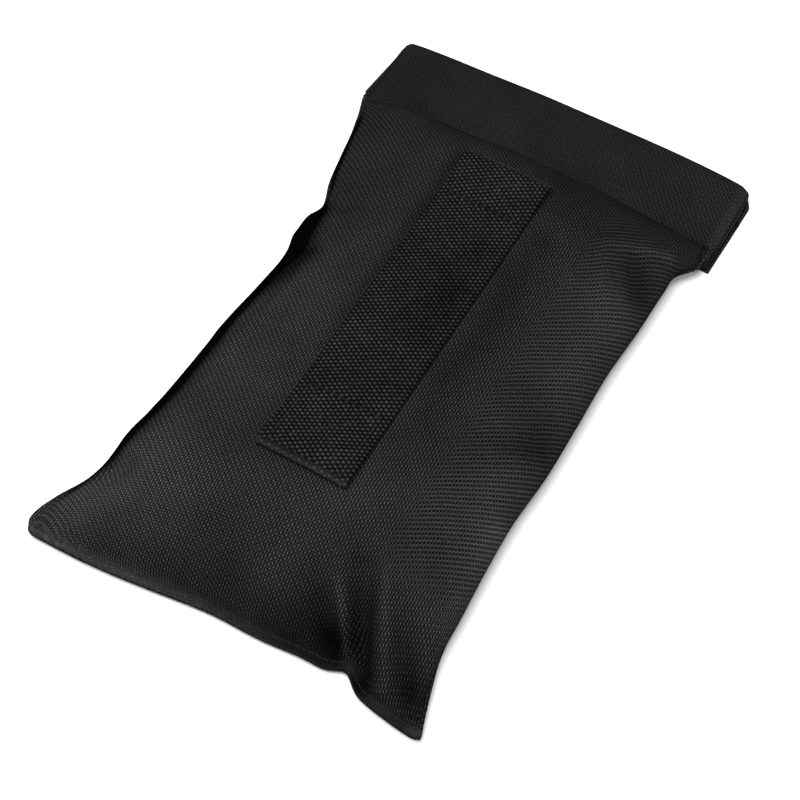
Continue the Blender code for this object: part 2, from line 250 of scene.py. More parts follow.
# ---- folds, and painted shade and highlights, in the front cloth ----
# Each fold is (x, y, x, y, half width, height) in mm: a ridge is positive, a valley negative.
FOLDS = (
    # the valleys that run into the pinch, and the ridges between them
    (26, -116, 40, -129, 5, -3.4),
    (40, -102, 55, -134, 4.2, -5.2),
    (56, -104, 72, -127, 4, -1.8),
    (34, -111, 50, -131, 2.2, 3),
    (47, -99, 66, -133, 3, 2.8),
    (68, -100, 79, -130, 3.6, 1.8),
    # the shoulder along the right side
    (47, -40, 49, 70, 6, 0.8),
    (47, -40, 58, -100, 6, 0.8),
    # hollows above the bottom rim
    (-12, -124, -2, -125, 9, -2),
    (-52, -121, -40, -123, 8, -1.2),
    # dents in the right wall, and the pucker under the folded mouth
    (65, -20, 72, -18, 6, -3),
    (58, -34, 74, -30, 4, 1.2),
    (63, 77, 71.5, 64, 4.6, -3.6),
    (52, 74, 74, 87, 3, 1.8),
    (50, 74, 60, 52, 3, 1.2),
    # the left corner's fold, and the jog at the waist
    (-80, -113, -66, -108, 6, -4.5),
    (-72, 47, -54, 40, 6, -3),
    (-71, 36, -66, 20, 5, 2),
)

# Painted highlights and painted shade on the front cloth, along lines: an amount in place of the
# height.
SHADE_AND_LIGHT_LINES = (
    # the pinch: painted shade above the rim and in its valleys, painted highlights on its ridges
    (16, -131, 43, -127, 6, -0.46),
    (22, -114, 42, -128, 5.6, -0.44),
    (37, -102, 56, -133, 5.6, -0.52),
    (45, -104, 58, -131, 2, -0.25),
    (20, -136, 60, -136, 3, -0.4),
    (34, -111, 50, -131, 1.8, 0.6),
    (47, -100, 66, -132, 2.4, 0.25),
    (56, -104, 74, -129, 4, -0.22),
    (70, -125, 80, -134, 8, -0.55),
    # painted shade above the bottom rim, and painted highlights on the left corner and over the
    # lower belly
    (-12, -126, -2, -126, 8, -0.18),
    (-42, -133, 10, -130, 4, -0.12),
    (-79, -133, -64, -113, 11, 1.15),
    (6, -122, 16, -112, 7, 0.22),
    (-62, -104, -45, -112, 15, 0.45),
    (-66, -110, -54, -86, 6, 0.35),
    (0, -100, 20, -85, 12, 0.2),
    # a painted highlight on the left of the belly, and painted shade in two hollows at its side
    (-45, -90, -44, 0, 18, 0.36),
    (-59, -12, -51.5, 8, 4.6, -0.85),
    (-74.5, -109.5, -70, -105.5, 2.6, -0.6),
    # painted shade along the handle
    (-21.5, -30, -21.5, 80, 2.8, -0.3),
    (29, -40, 29, 55, 8, -0.34),
    # painted shade in the right side's dents, and painted highlights on their edges
    (64, 76, 72, 64, 5.6, -0.52),
    (52, 74, 74, 87, 2, 0.4),
    (55, -38, 70, -20, 6.8, -0.4),
    (66, -80, 66, -40, 11, 0.35),
    (75, -105, 73, -60, 4.5, 0.55),
    (66, 10, 66, 50, 10, 0.35),
    # painted shade along the crease under the folded mouth
    (20, 92, 78, 96, 12, -0.34),
    (26, 81, 46, 76, 10, -0.25),
    (-50, 98, 20, 98, 10, -0.15),
    (-70, 114, -58, 111, 6, -0.3),
)

# The ridge along the left side, as (y, x) in mm: past it the side falls away.
LEFT_RIDGE = (
    (-130, -83), (-118, -75), (-107, -69), (-100, -66), (-93, -62), (-82, -60), (-71, -58.5),
    (-50, -57), (-27, -54), (-13, -52.5), (-3, -51), (7, -52.5), (18, -55), (34, -59),
    (45, -66),
)

# Past this line, lower on the left side, the cloth is painted in deep shade.
SIDE_SHADE_LINE = (
    (-130, -83), (-118, -77), (-107, -72.5), (-100, -69), (-82, -64.5), (-50, -62), (-27, -61),
    (-10, -60), (0, -58), (8, -55), (20, -57), (34, -59), (45, -65), (56, -67), (71, -70),
    (88, -74), (100, -80),
)


def along_lines(lines, x, y):
    """The sum of the ridges along all the lines, at each point. Each grows from its start."""
    total = np.zeros_like(x)
    for *line, height in lines:
        x0, y0, x1, y1, width = MM * np.array(line)
        dx, dy = x1 - x0, y1 - y0
        t = np.clip(((x - x0) * dx + (y - y0) * dy) / (dx * dx + dy * dy), 0.0, 1.0)
        away = np.hypot(x - x0 - t * dx, y - y0 - t * dy)
        crisp = np.hypot(away, 0.3 * width) - 0.3 * width
        rise = 0.6 + 0.4 * smooth(t / 0.35)
        total += height * rise * np.exp(-1.25 * (crisp / width) ** 1.5)
    return total


def shade_and_highlight_at(x, y):
    """How much paler or darker each point of the front cloth is painted, as painted highlights and
    painted shade.

    The left side is painted in deep shade past its line, except right at the seam, and in painted
    half shade in a strip of uneven width before the line.
    """
    painted_light = np.clip(1 + along_lines(SHADE_AND_LIGHT_LINES, x, y), 0.10, 2.2)
    inward = x - curve_through(SIDE_SHADE_LINE, y)
    ends = past(y, -0.132, 0.012) * (1 - past(y, 0.086, 0.012))
    side_shade = (1 - past(inward, -0.0010, 0.0022)) * ends
    at_seam = 1 - past(x + curve_through(LEFT_EDGE, y), 0.0008, 0.0025)
    width = 0.0040 + 0.0040 * hump(y, 0.012, 0.016) - 0.0025 * hump(y, -0.033, 0.008)
    half_shade = 0.5 * (1 - smooth(inward / width)) * ends * (1 - past(y, 0.034, 0.014))
    return painted_light * (1 - half_shade) * (1 - 0.90 * side_shade * (1 - at_seam))


def unevenness(x, y, scale, seed):
    """Soft random bumps, -1 to 1, about scale across."""
    flat = [
        noise.noise(Vector((px / scale, py / scale, seed)))
        for px, py in zip(np.ravel(x), np.ravel(y))
    ]
    return np.array(flat).reshape(np.shape(x))


# ---- grids: rows run along the bag and columns across it ----
COLUMNS = 186
BODY_ROWS = 230             # above the bottom border
BAND_ROWS = 26              # on the flat mouth
BEND_ROWS = 24              # round its fold
BACK_COLUMNS = COLUMNS // 2
BACK_ROWS = BODY_ROWS // 2
RIM_SHARES = np.array([0.2, 0.4, 0.6, 0.8, 1.0])      # columns on each side's border
BORDER_SHARES = np.array([0.0, 0.25, 0.5, 0.75])      # rows on the bottom border
CREASE_ROW = len(BORDER_SHARES) + BODY_ROWS - 1       # the front's last row before the flat mouth


def across_places(count):
    """(column, share of the rim) for each column of the grid, seam to seam."""
    angles = np.linspace(-math.pi / 2, math.pi / 2, count)
    ones = np.ones(len(RIM_SHARES))
    columns = np.concatenate([-ones, np.sin(angles), ones])
    return columns, np.concatenate([RIM_SHARES[::-1], np.zeros(count), RIM_SHARES])


def body_rows(count):
    """Each row's distance from the bottom: the rows are closer together near both ends."""
    turn = (1 - np.cos(np.linspace(0, math.pi, count))) / 2
    spacing = 0.5 * turn + 0.5 * np.linspace(0, 1, count)
    border = BOTTOM_RIM * BORDER_SHARES
    return np.concatenate([border, BOTTOM_RIM + (LENGTH - BOTTOM_RIM) * spacing])


def surface_normals(points):
    along = np.gradient(points, axis=0)
    across = np.gradient(points, axis=1)
    return unit(np.cross(across, along))


def arc_uv(points, zero_row):
    """Metres along the cloth from its middle column and from one row."""
    step = np.linalg.norm(np.diff(points, axis=1), axis=-1)
    u = np.concatenate([np.zeros((len(points), 1)), np.cumsum(step, axis=1)], axis=1)
    u -= u[:, u.shape[1] // 2][:, None]
    step = np.linalg.norm(np.diff(points, axis=0), axis=-1)
    v = np.concatenate([np.zeros((1, points.shape[1])), np.cumsum(step, axis=0)], axis=0)
    v -= v[zero_row][None, :]
    return np.stack([u, v], -1)


def lengths_along(line):
    """The length of a line of points up to each of them."""
    return np.concatenate([[0], np.cumsum(np.linalg.norm(np.diff(line, axis=0), axis=1))])


def read_along(line, length, places):
    """A line's values at places given by their length along it."""
    return np.stack([np.interp(places, length, values) for values in line.T], -1)


def mesh_object(name, points, faces, uv=None):
    mesh = bpy.data.meshes.new(name)
    mesh.from_pydata(np.asarray(points).tolist(), [], faces)
    if uv is not None:
        corners = np.concatenate([np.asarray(face) for face in faces])
        layer = mesh.uv_layers.new(name="cloth")
        layer.data.foreach_set("uv", uv[corners].astype(np.float32).ravel())
    mesh.shade_smooth()
    obj = bpy.data.objects.new(name, mesh)
    bpy.context.scene.collection.objects.link(obj)
    return obj


def grid_faces(rows, columns, around=False):
    index = np.arange(rows * columns).reshape(rows, columns)
    if around:
        index = np.concatenate([index, index[:, :1]], axis=1)
    quads = np.stack([index[:-1, :-1], index[:-1, 1:], index[1:, 1:], index[1:, :-1]], -1)
    return quads.reshape(-1, 4).tolist()


def mark(obj, name, values):
    """Stores a value at each point, for the materials."""
    attribute = obj.data.attributes.new(name, "FLOAT", "POINT")
    attribute.data.foreach_set("value", np.ravel(values).astype(np.float32))


def sheet_object(name, points, zero_row=-1, flip=False, thickness=CLOTH, uv=None):
    """A sheet of cloth or tape through a grid of points on its outer face.

    Its uv is measured over the points, along the cloth from the zero row, unless it is given.
    """
    rows, columns = points.shape[:2]
    if uv is None:
        uv = arc_uv(points, zero_row)
    uv = uv.reshape(-1, 2)
    faces = grid_faces(rows, columns)
    if flip:
        faces = [face[::-1] for face in faces]
    obj = mesh_object(name, points.reshape(-1, 3), faces, uv)
    solidify = obj.modifiers.new("cloth thickness", "SOLIDIFY")
    solidify.thickness = thickness
    solidify.offset = -1
    return obj


def tubes(name, paths, radius, across, sides=6):
    """Many short threads in one piece. Across is each thread's direction out of its own plane."""
    count, length = paths.shape[:2]
    tangent = np.gradient(paths, axis=1)
    side = np.broadcast_to(across[:, None, :], paths.shape)
    other = unit(np.cross(tangent, side))
    turn = np.linspace(0, 2 * math.pi, sides, endpoint=False)[:, None]
    taper = np.broadcast_to(radius, (length,))[None, :, None, None]
    ring = np.cos(turn) * side[:, :, None] + np.sin(turn) * other[:, :, None]
    points = paths[:, :, None] + taper * ring
    index = np.arange(count * length * sides).reshape(count, length, sides)
    after = np.roll(index, -1, axis=2)
    quads = np.stack([index[:, :-1], after[:, :-1], after[:, 1:], index[:, 1:]], -1).reshape(-1, 4)
    faces = quads.tolist() + index[:, 0, ::-1].tolist() + index[:, -1].tolist()
    return mesh_object(name, points.reshape(-1, 3), faces)


def flap_place(x, y):
    """The mouth is folded a little askew: its free edge is not square to the bag.

    Its left end sticks out at the free edge, and its right end at the fold.
    """
    share = np.clip((FOLD_Y - y) / (FOLD_Y - FLAP_EDGE_Y), 0.0, 1.0)
    wider = np.where(x < 0, 0.030 * share, 0.014 * smooth(share / 0.05) * (1 - 0.9 * share))
    return x * (1 + wider), y + share * (0.0050 - 0.0058 * x / HALF_WIDTH)


def bow(points):
    """The folded mouth is not straight: its fold bows out, and its middle is puffed up."""
    x, y, z = points[..., 0], points[..., 1], points[..., 2]
    middle = np.clip(1 - (x / (HALF_WIDTH + 0.001)) ** 2, 0.0, 1.0) ** 0.3
    above = past(y, CREASE_Y, FOLD_Y - CREASE_Y)
    below = past(y, LIP_Y, FOLD_Y - LIP_Y)
    puffed = past(z, FOLD_Z, BAND_TOP - FOLD_Z) * past(y, CREASE_Y, 0.020)
    points[..., 1] = y + FOLD_BOW * middle * np.where(z > FOLD_Z, above, below)
    points[..., 2] = z + BAND_PUFF * middle * puffed


def mouth_rows(x, path, on_flap):
    """Rows of the folded mouth, from (y, z) points of its path, and where z is on the flap."""
    rows = []
    for y, z in path:
        place = flap_place(x, y) if on_flap(z) else (x, np.full_like(x, y))
        rows.append(np.stack([*place, np.full_like(x, z)], -1))
    return np.array(rows)


def level(start_y, end_y, z, count):
    """(y, z) points along a level stretch, after its start."""
    return [(y, z) for y in np.linspace(start_y, end_y, count)[1:]]


def half_turn(centre_y, centre_z, radius, count):
    """(y, z) points down round a half circle, after its top."""
    angles = np.linspace(math.pi / 2, -math.pi / 2, count)[1:]
    return list(zip(centre_y + radius * np.cos(angles), centre_z + radius * np.sin(angles)))


def front_folds(x, y, column, distance):
    """How far the front cloth stands out from its plain shape: folds, and loose unevenness."""
    inner = past(1 - np.abs(column), 0.0, 0.04) * (1 - past(distance, LENGTH - 0.006, 0.006))
    ridge = hump(x, curve_through(LEFT_RIDGE, y) + 0.0022, 0.0030)
    folds = MM * along_lines(FOLDS, x, y) + 0.0012 * ridge * (1 - past(y, 0.038, 0.014))
    folds = folds * past(distance, 0.6 * BOTTOM_RIM, 0.004)
    # the cloth is held flat under the handle
    bare = past(np.abs(x), 0.8 * STRAP_HALF, 0.5 * STRAP_HALF)
    bare = np.maximum(bare, past(-y, -STRAP_LOW_Y, 0.008))
    bare = np.maximum(bare, past(y, STRAP_HIGH_Y, 0.008))
    loose = 0.0011 * unevenness(x, y, 0.024, 1.7) + 0.0004 * unevenness(x, y, 0.009, 5.2)
    return inner * (folds + bare * loose)


def front_mouth(edge_x, columns, shares):
    """The front cloth's flat mouth and its turn round the fold to the lip, before it is bowed."""
    fold_middle_y = FOLD_Y - FOLD_Z
    path = level(CREASE_Y, fold_middle_y, BAND_TOP, BAND_ROWS)
    path += half_turn(fold_middle_y, FOLD_Z, FOLD_Z, BEND_ROWS)
    path += level(fold_middle_y, LIP_Y, 0.0, 6)
    mouth = mouth_rows(edge_x, path, lambda z: z < FOLD_Z)
    # under the fold the sides reach out as far as the lip's do
    under = past(FOLD_Y - mouth[..., 1], 0.0, 0.004) * (mouth[..., 2] < FOLD_Z)
    mouth[..., 0] += 0.0012 * np.sign(columns) * shares * under
    band = past(mouth[..., 2], FOLD_Z, BAND_TOP - FOLD_Z)
    mouth[..., 2] -= ROLL_DROP * band * (1 - np.cos(shares * math.pi / 2))
    rumple = unevenness(mouth[..., 0], mouth[..., 1], 0.030, 9.1)
    mouth[..., 2] += 0.0004 * band * rumple * past(mouth[..., 1], CREASE_Y, 0.006)
    return mouth


def front_grid():
    """The front cloth's outer face, from the bottom seam to the lip, and its uv."""
    columns, shares = across_places(COLUMNS)
    column, distance = np.meshgrid(columns, body_rows(BODY_ROWS))
    share = np.broadcast_to(shares, column.shape)
    body = belly_front(column, share, distance)
    lift = front_folds(body[..., 0], body[..., 1], column, distance)
    body = body + surface_normals(body) * lift[..., None]
    edge_x = body[-1, :, 0]
    mouth = front_mouth(edge_x, columns, shares)
    # a groove along the crease, which fades out to the left
    body[-2:, :, 2] -= np.array([[0.0004], [0.0007]]) * past(edge_x, 0.004, 0.02)
    flat = np.concatenate([belly_front(column, share, distance, shaped=False), mouth], axis=0)
    bow(mouth)
    return np.concatenate([body, mouth], axis=0), arc_uv(flat, CREASE_ROW)


def back_grid():
    """The back cloth's outer face: on the floor, up to the flat mouth, and back over the flap."""
    columns, shares = across_places(BACK_COLUMNS)
    column, distance = np.meshgrid(columns, body_rows(BACK_ROWS))
    share = np.broadcast_to(shares, column.shape)
    x, y = plan(column, share, distance)
    lift = back_lift(column, distance)
    crinkle = 0.0008 * np.abs(unevenness(x, y, 0.018, 3.3)) * (share == 0)
    z = lift * (seam_height(distance) - SEAM_GAP - CLOTH) + crinkle * lift * (1 - lift) * 4
    body = np.stack([x, y, z], -1)

    layer_z = z[-1, 0]
    radius = (layer_z - FLAP_BACK_Z - CLOTH) / 2
    middle_z = layer_z - radius
    turn_y = FOLD_Y - FOLD_Z - 0.0015
    path = level(CREASE_Y, turn_y, layer_z, 14)
    path += half_turn(turn_y, middle_z, radius, 12)
    path += level(turn_y, FLAP_EDGE_Y, layer_z - 2 * radius, 20)
    mouth = mouth_rows(body[-1, :, 0], path, lambda z: z < middle_z)
    inset = shares * 0.0025 * np.sign(columns)    # hidden behind the rolled ends of the front
    mouth[..., 0] -= inset * past(mouth[..., 2], middle_z - radius, 2 * radius)
    bow(mouth)
    return np.concatenate([body, mouth], axis=0)


def back_lift(column, distance):
    """How far the back cloth has left the floor, from 0 to 1 at the seams."""
    side = past(np.abs(column), 0.72, 0.28)
    bottom = 1 - past(distance, BOTTOM_RIM, 0.016)
    top = past(distance, LENGTH - 0.022, 0.022)
    return 1 - (1 - side) * (1 - bottom) * (1 - top)


def sand_grid(front):
    """The sand's top and bottom: inside both cloths, below the front cloth's folds."""
    body = front[:CREASE_ROW + 1]
    inside = body - surface_normals(body) * 3.5 * CLOTH
    reach = 5
    padded = np.pad(inside[..., 2], reach, mode="edge")
    window = (2 * reach + 1, 2 * reach + 1)
    inside[..., 2] = np.lib.stride_tricks.sliding_window_view(padded, window).min(axis=(2, 3))
    column, distance = np.meshgrid(across_places(COLUMNS)[0], body_rows(BODY_ROWS))
    under = back_lift(column, distance) * seam_height(distance) + 2.5 * CLOTH
    bottom = inside.copy()
    bottom[..., 2] = np.minimum(under, inside[..., 2] - 0.001)
    # every fourth row and column, well inside the seams
    edge = len(RIM_SHARES) + COLUMNS // 9
    keep = (slice(BODY_ROWS // 8, BODY_ROWS - BODY_ROWS // 16, 4), slice(edge, -edge, 4))
    return inside[keep], bottom[keep]


# ---- materials ----
def new_material(name, **values):
    material = bpy.data.materials.new(name)
    material.use_nodes = True
    shader = material.node_tree.nodes["Principled BSDF"]
    for socket, value in values.items():
        shader.inputs[socket.replace("_", " ")].default_value = value
    return material, material.node_tree, shader


def node(tree, kind, inputs, **settings):
    made = tree.nodes.new(kind)
    for name, value in settings.items():
        setattr(made, name, value)
    for place, value in inputs.items():
        if isinstance(value, bpy.types.NodeSocket):
            tree.links.new(value, made.inputs[place])
        else:
            made.inputs[place].default_value = value
    return made.outputs[0]


def maths(tree, operation, first, second=0.0):
    return node(tree, "ShaderNodeMath", {0: first, 1: second}, operation=operation)


def scaled(tree, value, factor, offset):
    """value * factor + offset"""
    return maths(tree, "ADD", maths(tree, "MULTIPLY", value, factor), offset)


def mix_values(tree, share, low, high):
    return node(tree, "ShaderNodeMix", {0: share, 2: low, 3: high}, data_type="FLOAT")


def mix_colour(tree, share, low, high):
    ends = {0: share, 6: (*low, 1), 7: (*high, 1)}
    return node(tree, "ShaderNodeMix", ends, data_type="RGBA").node.outputs[2]


def speckle(tree, place, scale, detail):
    """Soft random values, about 0 to 1."""
    inputs = {"Vector": place, "Scale": scale, "Detail": detail}
    return node(tree, "ShaderNodeTexNoise", inputs)


def marked(tree, name):
    """A value that mark() stored on the mesh."""
    return node(tree, "ShaderNodeAttribute", {}, attribute_name=name).node.outputs["Fac"]


def bumped(tree, shader, height, strength, distance):
    inputs = {"Strength": strength, "Distance": distance, "Height": height}
    tree.links.new(node(tree, "ShaderNodeBump", inputs), shader.inputs["Normal"])


def cloth_coordinates(tree):
    """The cloth's uv, whole and as u and v."""
    uv = node(tree, "ShaderNodeUVMap", {}, uv_map="cloth")
    split = node(tree, "ShaderNodeSeparateXYZ", {0: uv}).node
    return uv, split.outputs[0], split.outputs[1]


WEAVE_PITCH = 0.00115       # from one yarn to the next
PRESSED_HEIGHT = 0.34       # the even height of cloth that is pressed flat
SHELL_DARK = (0.0004, 0.0004, 0.0005)
SHELL_LIT = (0.070, 0.070, 0.071)
WEBBING_DARK = (0.0001, 0.0001, 0.0001)
WEBBING_LIT = (0.044, 0.044, 0.045)


def yarn_wave(tree, kind, place):
    """A sine or cosine wave that changes its sign from each yarn to the next."""
    return maths(tree, kind, maths(tree, "MULTIPLY", place, math.pi / WEAVE_PITCH))


def weave_height(tree, u, v):
    """A plain weave: each yarn tops the other family in every second crossing.

    Ridges also run slanting over the yarns, and they are stronger on the right side, as painted
    stripes of light in the colour and in the bump.
    """
    across = yarn_wave(tree, "SINE", u)
    along = yarn_wave(tree, "SINE", v)
    weft_on_top = maths(tree, "GREATER_THAN", maths(tree, "MULTIPLY", across, along), 0.0)
    a = maths(tree, "ABSOLUTE", across)
    b = maths(tree, "ABSOLUTE", along)
    warp = maths(tree, "MULTIPLY", maths(tree, "POWER", a, 1.3), maths(tree, "POWER", b, 0.3))
    weft = maths(tree, "MULTIPLY", maths(tree, "POWER", b, 1.2), maths(tree, "POWER", a, 0.4))
    weft = maths(tree, "MULTIPLY", weft, 0.50)
    height = mix_values(tree, weft_on_top, warp, weft)
    slant = yarn_wave(tree, "COSINE", maths(tree, "SUBTRACT", u, v))
    slant = maths(tree, "POWER", scaled(tree, slant, 0.5, 0.5), 1.5)
    return mix_values(tree, scaled(tree, marked(tree, "light_stripes"), 0.32, 0.16), height, slant)


def shell_material():
    """Matte woven cloth, marked with how pressed it is, with painted shade and highlights, and with
    painted stripes of light at each point.
    """
    material, tree, shader = new_material("shell cloth", Specular_IOR_Level=0.0)
    uv, u, v = cloth_coordinates(tree)
    wander = maths(tree, "MULTIPLY", speckle(tree, uv, 160.0, 2.0), 0.0004)
    height = weave_height(tree, maths(tree, "ADD", u, wander), maths(tree, "ADD", v, wander))
    even = mix_values(tree, marked(tree, "pressed"), height, PRESSED_HEIGHT)
    patches = scaled(tree, speckle(tree, uv, 38.0, 4.0), 0.7, 0.65)
    yarns = scaled(tree, speckle(tree, uv, 900.0, 2.0), 1.4, 0.3)
    # the marked painted shade and highlights scale the colour, with random patches and yarns
    shade = maths(tree, "MULTIPLY", maths(tree, "MULTIPLY", patches, marked(tree, "painted_light")), yarns)
    lit = maths(tree, "ADD", maths(tree, "POWER", even, 2.1), 0.03)
    lit = maths(tree, "MULTIPLY", lit, shade)
    colour = mix_colour(tree, lit, SHELL_DARK, SHELL_LIT)
    tree.links.new(colour, shader.inputs["Base Color"])
    tree.links.new(scaled(tree, height, -0.15, 0.95), shader.inputs["Roughness"])
    bumped(tree, shader, even, 1.0, 0.0003)
    return material


def webbing_material():
    """Webbing, dark between its raised knots."""
    material, tree, shader = new_material(
        "handle webbing", Specular_IOR_Level=0.01, Roughness=0.60)
    uv = cloth_coordinates(tree)[0]
    fibre = speckle(tree, uv, 2500.0, 2.0)
    lit = maths(tree, "MULTIPLY", marked(tree, "raised"), scaled(tree, fibre, 0.8, 0.6))
    colour = mix_colour(tree, lit, WEBBING_DARK, WEBBING_LIT)
    tree.links.new(colour, shader.inputs["Base Color"])
    bumped(tree, shader, fibre, 0.5, 0.0001)
    return material


def plain_material(name, colour, roughness, grain):
    """A simple finish with a fine grain."""
    material, tree, shader = new_material(name, Roughness=roughness, Specular_IOR_Level=0.15)
    place = node(tree, "ShaderNodeTexCoord", {}).node.outputs["Object"]
    speck = speckle(tree, place, 1 / grain, 3.0)
    dark = tuple(0.5 * part for part in colour)
    tree.links.new(mix_colour(tree, speck, dark, colour), shader.inputs["Base Color"])
    bumped(tree, shader, speck, 0.6, grain / 4)
    return material


SHELL = shell_material()
WEBBING = webbing_material()
THREAD_LOOK = plain_material("sewing thread", (0.012, 0.012, 0.0125), 0.70, 0.0003)
HOOK = plain_material("hook tape", (0.014, 0.014, 0.015), 0.35, 0.0006)
LOOP = plain_material("loop tape", (0.020, 0.020, 0.021), 0.80, 0.0005)
SAND = plain_material("sand", (0.52, 0.43, 0.30), 0.90, 0.0012)


def dress(obj, material):
    obj.data.materials.clear()
    obj.data.materials.append(material)
    return obj


# ---- the cloth pieces ----
def front_pressed(x, y):
    """How flat the front cloth is pressed: the mouth's flat front and the bottom border."""
    mouth = past(y, CREASE_Y - 0.012, 0.014) * (0.78 - 0.35 * smooth(x / HALF_WIDTH))
    row = np.arange(len(x))[:, None]
    border = np.where(row <= len(BORDER_SHARES), 0.75, 0.12 * (x < 0.03))
    return np.maximum(mouth, border)


def front_painted_light(x, y):
    """The front cloth's painted shade and highlights, with a painted highlight on its bottom
    border, painted shade along its crease and a painted highlight on the mouth's rolled right end.
    """
    painted_light = shade_and_highlight_at(x, y)
    # a painted highlight on the bottom border, at the left and at the right tip, mottled at random
    rim = slice(1, 7)
    mottled = 1 + 0.7 * unevenness(x[rim], y[rim], 0.0018, 4.4)
    paler = np.array([[1.2], [1.2], [1.0], [0.7], [0.4], [0.1]])
    at_left = 1 - 0.9 * past(x[rim], -0.060, 0.080)
    at_tip = past(x[rim], 0.076, 0.006)
    painted_light[rim] = np.minimum(painted_light[rim], 1.3) * (1 + paler * mottled * (at_left + at_tip))
    # a painted highlight on the border's outer edge, strongest to the left
    painted_light[0] = 2.2 - 1.2 * past(x[0], -0.020, 0.070)
    # painted shade along the crease, fading out to the left
    crease_shade = past(x[CREASE_ROW], 0.004, 0.020)
    painted_light[CREASE_ROW - 2:CREASE_ROW + 1] *= 1 - crease_shade * np.array([[0.4], [0.95], [0.8]])
    # a painted highlight on the mouth's rolled right end
    rolled_end_highlight = past(x[CREASE_ROW + 2:], 0.081, 0.003)
    painted_light[CREASE_ROW + 2:] *= 1 + 0.6 * rolled_end_highlight
    return painted_light


def make_front(points, uv):
    obj = dress(sheet_object("front_cloth", points, uv=uv), SHELL)
    x, y = points[..., 0], points[..., 1]
    mark(obj, "pressed", front_pressed(x, y))
    mark(obj, "painted_light", front_painted_light(x, y))
    # painted stripes of light on the right side, where one family of yarns catches the light
    light_stripes = past(x, 0.036, 0.014) * past(y, -0.110, 0.030)
    mark(obj, "light_stripes", light_stripes * (1 - past(y, 0.085, 0.012)))
    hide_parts("front_panel", "fold_outer_wrap")
    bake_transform(obj)


def make_back(points):
    obj = sheet_object("back_cloth", points, BACK_ROWS, flip=True)
    dress(obj, SHELL)
    on_border = np.indices(points.shape[:2])[0] < 3
    mark(obj, "pressed", np.where(on_border, 0.75, 0.0))
    # a painted highlight on the bottom border, as on the front
    mark(obj, "painted_light", np.where(on_border, 1.6, 1.0))
    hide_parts("back_panel", "flap_back_layer")
    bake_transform(obj)


def make_lip(middle_x):
    """The mouth's front layer, on the floor under its back layer."""
    columns, shares = across_places(40)
    x = middle_x + HALF_WIDTH * columns * (1 + 0.02 * shares)
    rows = np.linspace(LIP_Y, FLAP_EDGE_Y, 24)
    points = mouth_rows(x, [(y, 0.0) for y in rows], lambda z: True)
    obj = dress(sheet_object("lip_cloth", points, 0), SHELL)
    mark(obj, "painted_light", np.ones(points.shape[:2]))
    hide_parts("flap_front_layer")
    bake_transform(obj)


def make_sand(front):
    top, bottom = sand_grid(front)
    points = np.concatenate([top.reshape(-1, 3), bottom.reshape(-1, 3)])
    count = top[..., 0].size
    faces = np.array(grid_faces(*top.shape[:2]))
    index = np.arange(count).reshape(top.shape[:2])
    rim = np.concatenate([index[0], index[1:, -1], index[-1, -2::-1], index[-2:0:-1, 0]])
    after = np.roll(rim, -1)
    wall = np.stack([after, rim, rim + count, after + count], -1)
    faces = np.concatenate([faces, faces[:, ::-1] + count, wall]).tolist()
    obj = dress(mesh_object("sand", points, faces), SAND)
    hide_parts("sand_fill")
    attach(obj, "bag")


# ---- the webbing handle ----
RIBS = 24
RIB_STEPS = 5               # points across each rib, and along each of its knots
KNOT_LENGTH = 0.0020
RIB_HEIGHT = 0.0007
WEB = 0.0009                # thickness of the webbing between its ribs and its flat inner side
TURN_RADIUS = 0.0003 + WEB  # of the webbing's outer face at its turned-under ends
TAIL = 0.009                # length that is folded under at each end
LIE = 0.0001                # the webbing's inner side over the cloth
BOX_HALF = 0.0155           # half the width of each box stitch
rng = np.random.default_rng(7)
KNOT_WEAR = rng.uniform(0.75, 1.15, (RIBS, 60))    # how pale each knot is rubbed


def strap_rise(y, end_y, side):
    """The webbing's face over the cloth: its end lies on its own tail, and then it settles."""
    turn_y = end_y + side * (TURN_RADIUS + RIB_HEIGHT)
    settled = past((y - turn_y) * side, 0.5 * TAIL, 2.5 * TAIL)
    return LIE + WEB + 2 * TURN_RADIUS * (1 - settled)


def strap_path(end_y, middle_y, count):
    """(y, rise, turn) along half the handle: from its hidden tail, round its end, to the middle."""
    side = 1.0 if end_y < middle_y else -1.0
    turn_y = end_y + side * (TURN_RADIUS + RIB_HEIGHT)
    tail = [(turn_y + side * TAIL * (1 - t), LIE + WEB, math.pi) for t in np.linspace(0, 1, 12)]
    bend = []
    for angle in np.linspace(0, math.pi, 9)[1:-1]:
        y = turn_y - side * TURN_RADIUS * math.sin(angle)
        bend.append((y, LIE + WEB + TURN_RADIUS * (1 - math.cos(angle)), math.pi - angle))
    over = [(y, strap_rise(y, end_y, side), 0.0) for y in np.linspace(turn_y, middle_y, count)]
    return tail + bend + over


def rib_pattern(across, along):
    """The height of the webbing's knotted ribs, each half a knot on from the last, and how pale."""
    rib = across * RIBS / (2 * STRAP_HALF) + RIBS / 2
    number = np.clip(np.floor(rib), 0, RIBS - 1)
    round_across = np.sqrt(np.clip(np.sin(math.pi * (rib - number)), 0.0, 1.0))
    knot = np.abs(np.sin(math.pi * (along / KNOT_LENGTH + 0.5 * (number % 2))))
    height = RIB_HEIGHT * round_across * (0.20 + 0.80 * np.sqrt(knot))
    place = np.floor(along / KNOT_LENGTH + 0.5 * (number % 2)).astype(int)
    fresh = KNOT_WEAR[number.astype(int), place % KNOT_WEAR.shape[1]]
    return height, fresh * round_across ** 1.2 * knot ** 3.5


